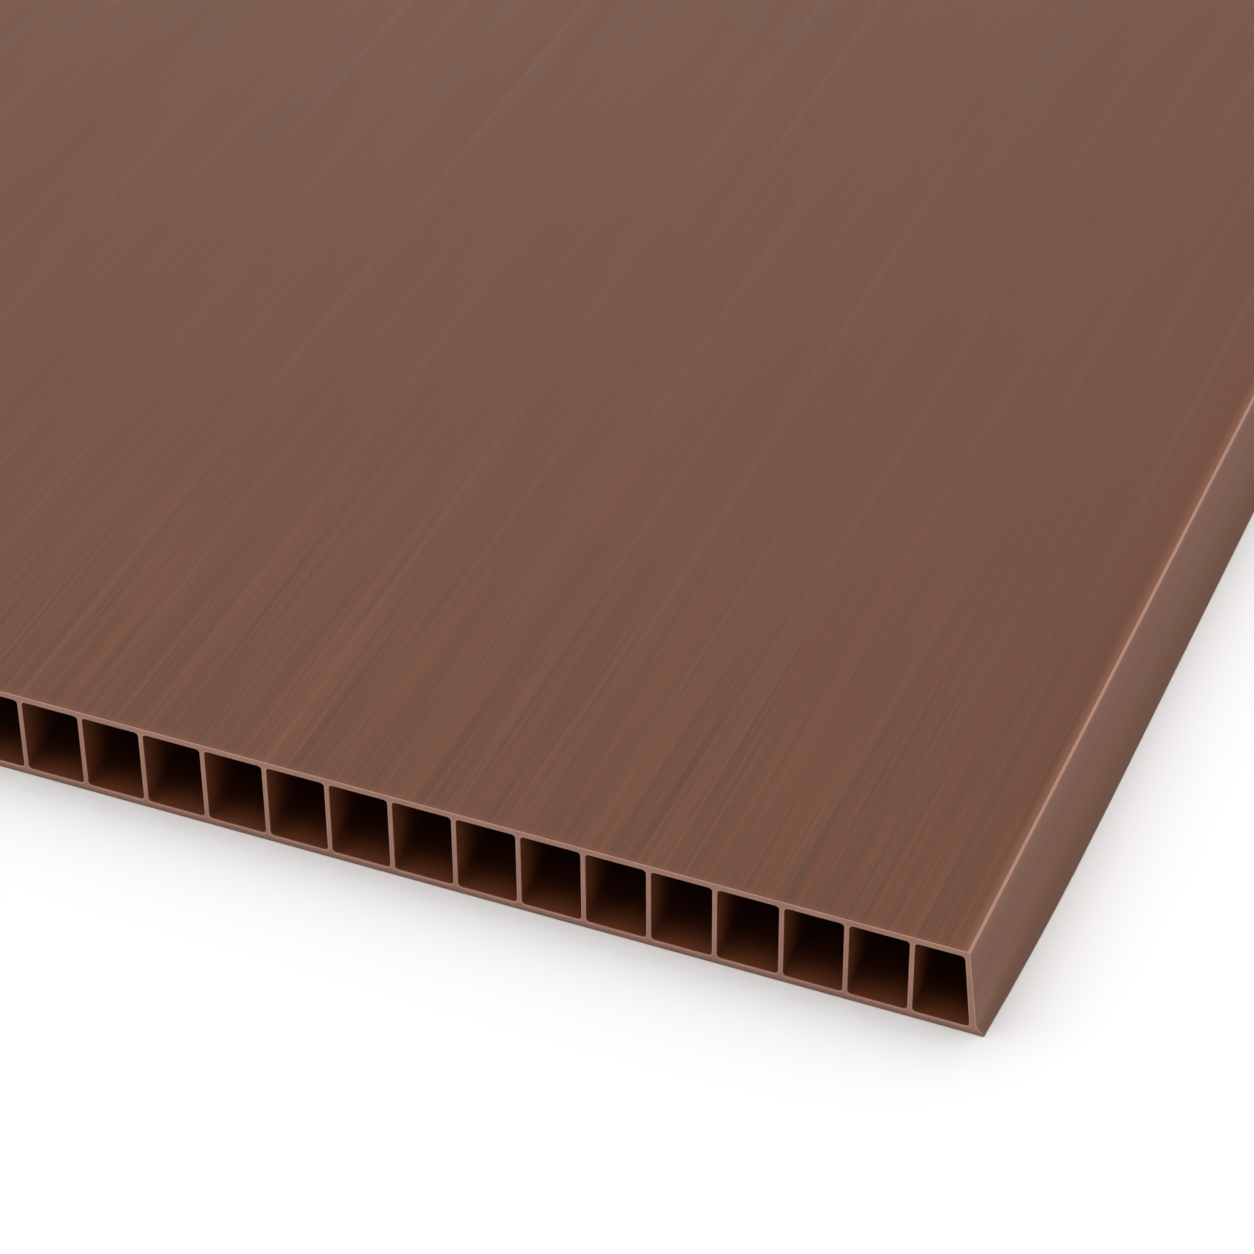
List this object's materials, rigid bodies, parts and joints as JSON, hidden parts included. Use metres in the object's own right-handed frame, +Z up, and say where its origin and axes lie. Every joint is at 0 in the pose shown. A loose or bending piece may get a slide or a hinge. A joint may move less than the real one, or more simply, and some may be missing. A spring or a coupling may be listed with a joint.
{
  "type": "corrugated plastic sheet",
  "caption": "Flat twin-wall polypropylene sheet with a row of straight open flutes between two skins, closed long sides with a small toe, and square-cut ends.",
  "frame": {"origin": "in the bottom face that the sheet lies on, at the middle of its length and width", "axes": "+Z up through the thickness, +Y along the flutes and the sheet's length, +X across the flutes"},
  "size_m": [0.21, 0.297, 0.006],
  "materials": {
    "brown_polypropylene": "satin, as extruded, with fine streaks along the flutes"
  },
  "bodies": {
    "root": {"fluted_sheet": "brown_polypropylene"}
  },
  "joints": []
}
